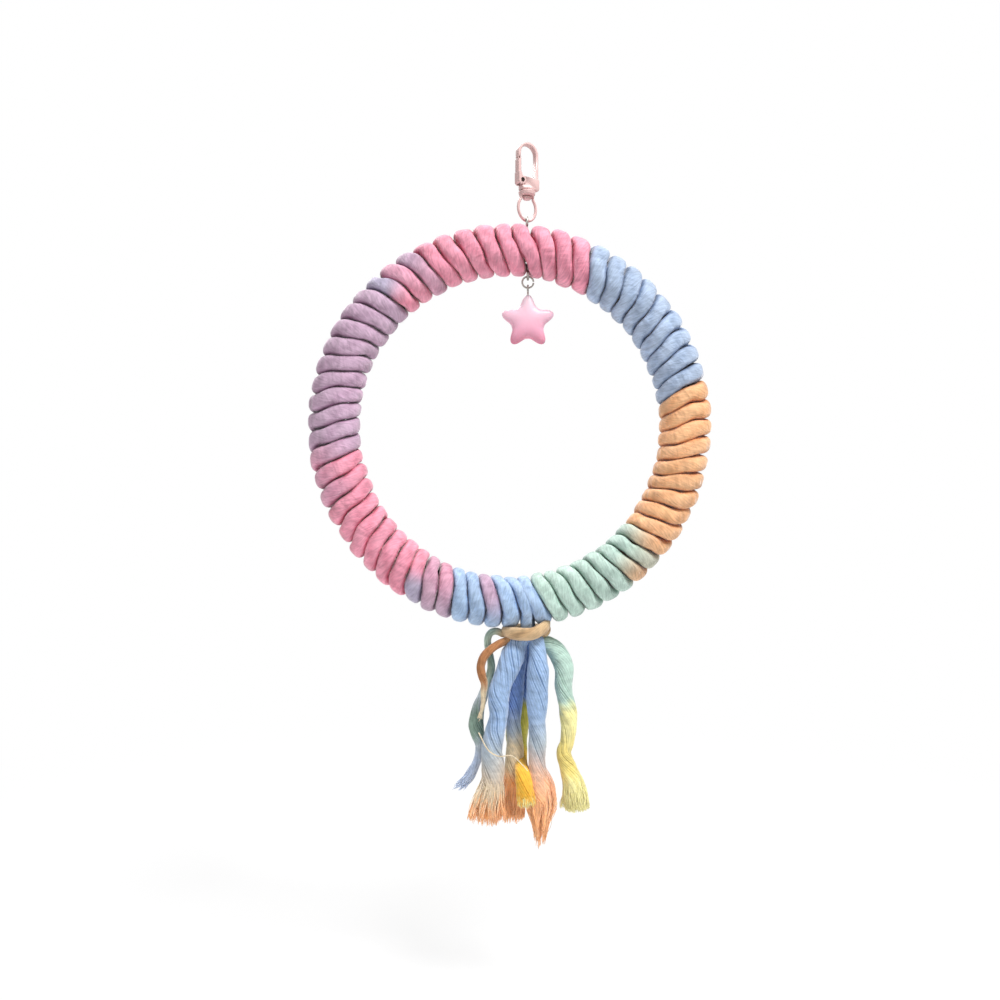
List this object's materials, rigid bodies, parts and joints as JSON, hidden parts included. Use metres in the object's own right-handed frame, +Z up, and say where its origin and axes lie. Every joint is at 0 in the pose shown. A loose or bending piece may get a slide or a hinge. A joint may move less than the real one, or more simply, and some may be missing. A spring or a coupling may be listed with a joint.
{
  "type": "hanging bird rope perch",
  "caption": "Ring perch for small birds: a cane hoop wound with soft dyed rope, hung from a swivel snap clasp, with a star pendant on links inside it and a rope tassel below.",
  "frame": {"origin": "inside of the clasp's round crown, where the bar that carries the perch lies", "axes": "+Z up, +Y through the hoop from front to back, +X to the right seen from the front"},
  "size_m": [0.2008, 0.0312, 0.3413],
  "materials": {
    "pink_enamel": "pale pink gloss enamel on a cast clasp",
    "steel_wire": "plain drawn wire",
    "cane": "bare round cane",
    "star_resin": "pink gloss, paler at the top",
    "rope_cotton": "soft twisted cotton, dyed in runs of pink, blue, peach, mint and lilac",
    "tan_cotton": "soft twisted cotton",
    "blue_cotton": "soft twisted cotton with a frayed end",
    "mint_cotton": "soft twisted cotton, mint running into yellow, with a frayed end",
    "olive_cotton": "soft twisted cotton with a frayed end",
    "sage_cotton": "soft twisted cotton with a frayed end",
    "rust_cotton": "thin twisted cotton"
  },
  "bodies": {
    "clasp": {"hook_body": "pink_enamel", "gate_rivet": "steel_wire", "gate_spring": "steel_wire", "swivel_stud": "pink_enamel"},
    "gate": {"gate": "pink_enamel"},
    "swivel": {"swivel_eye": "pink_enamel"},
    "perch": {"core_hoop": "cane", "rope_wrap": "rope_cotton", "top_screw_eye": "steel_wire", "bottom_screw_eye": "steel_wire", "tie_band": "tan_cotton", "tail_blue_left": "blue_cotton", "tail_mint_yellow": "mint_cotton", "tail_blue_right": "blue_cotton", "tail_blue_middle": "blue_cotton", "tail_olive_back": "olive_cotton", "tail_sage_left": "sage_cotton", "tail_rust_left": "rust_cotton"},
    "link": {"jump_ring": "steel_wire"},
    "star": {"star_screw_eye": "steel_wire", "star_pendant": "star_resin"}
  },
  "joints": [
    {"name": "gate_hinge", "type": "hinge", "parent": "clasp", "child": "gate", "pos_m": [-0.00331, -0.00207, -0.018], "axis": [-0.5299, 0.848, 0], "range_deg": [0, 30], "stiffness_Nm_per_rad": 0.02, "springref_deg": -11.46, "deforming": ["gate_spring"]},
    {"name": "swivel", "type": "hinge", "parent": "clasp", "child": "swivel", "pos_m": [0, 0, -0.024], "axis": [0, 0, 1], "continuous": true},
    {"name": "perch_swing", "type": "hinge", "parent": "swivel", "child": "perch", "pos_m": [0, 0, -0.03745], "axis": [1, 0, 0], "range_deg": [-45, 45]},
    {"name": "link_swing", "type": "hinge", "parent": "perch", "child": "link", "pos_m": [0.00043, 0, -0.06673], "axis": [0, 1, 0], "range_deg": [-25, 25]},
    {"name": "star_swing", "type": "hinge", "parent": "link", "child": "star", "pos_m": [0.00043, 0, -0.07098], "axis": [1, 0, 0], "range_deg": [-45, 45]}
  ]
}
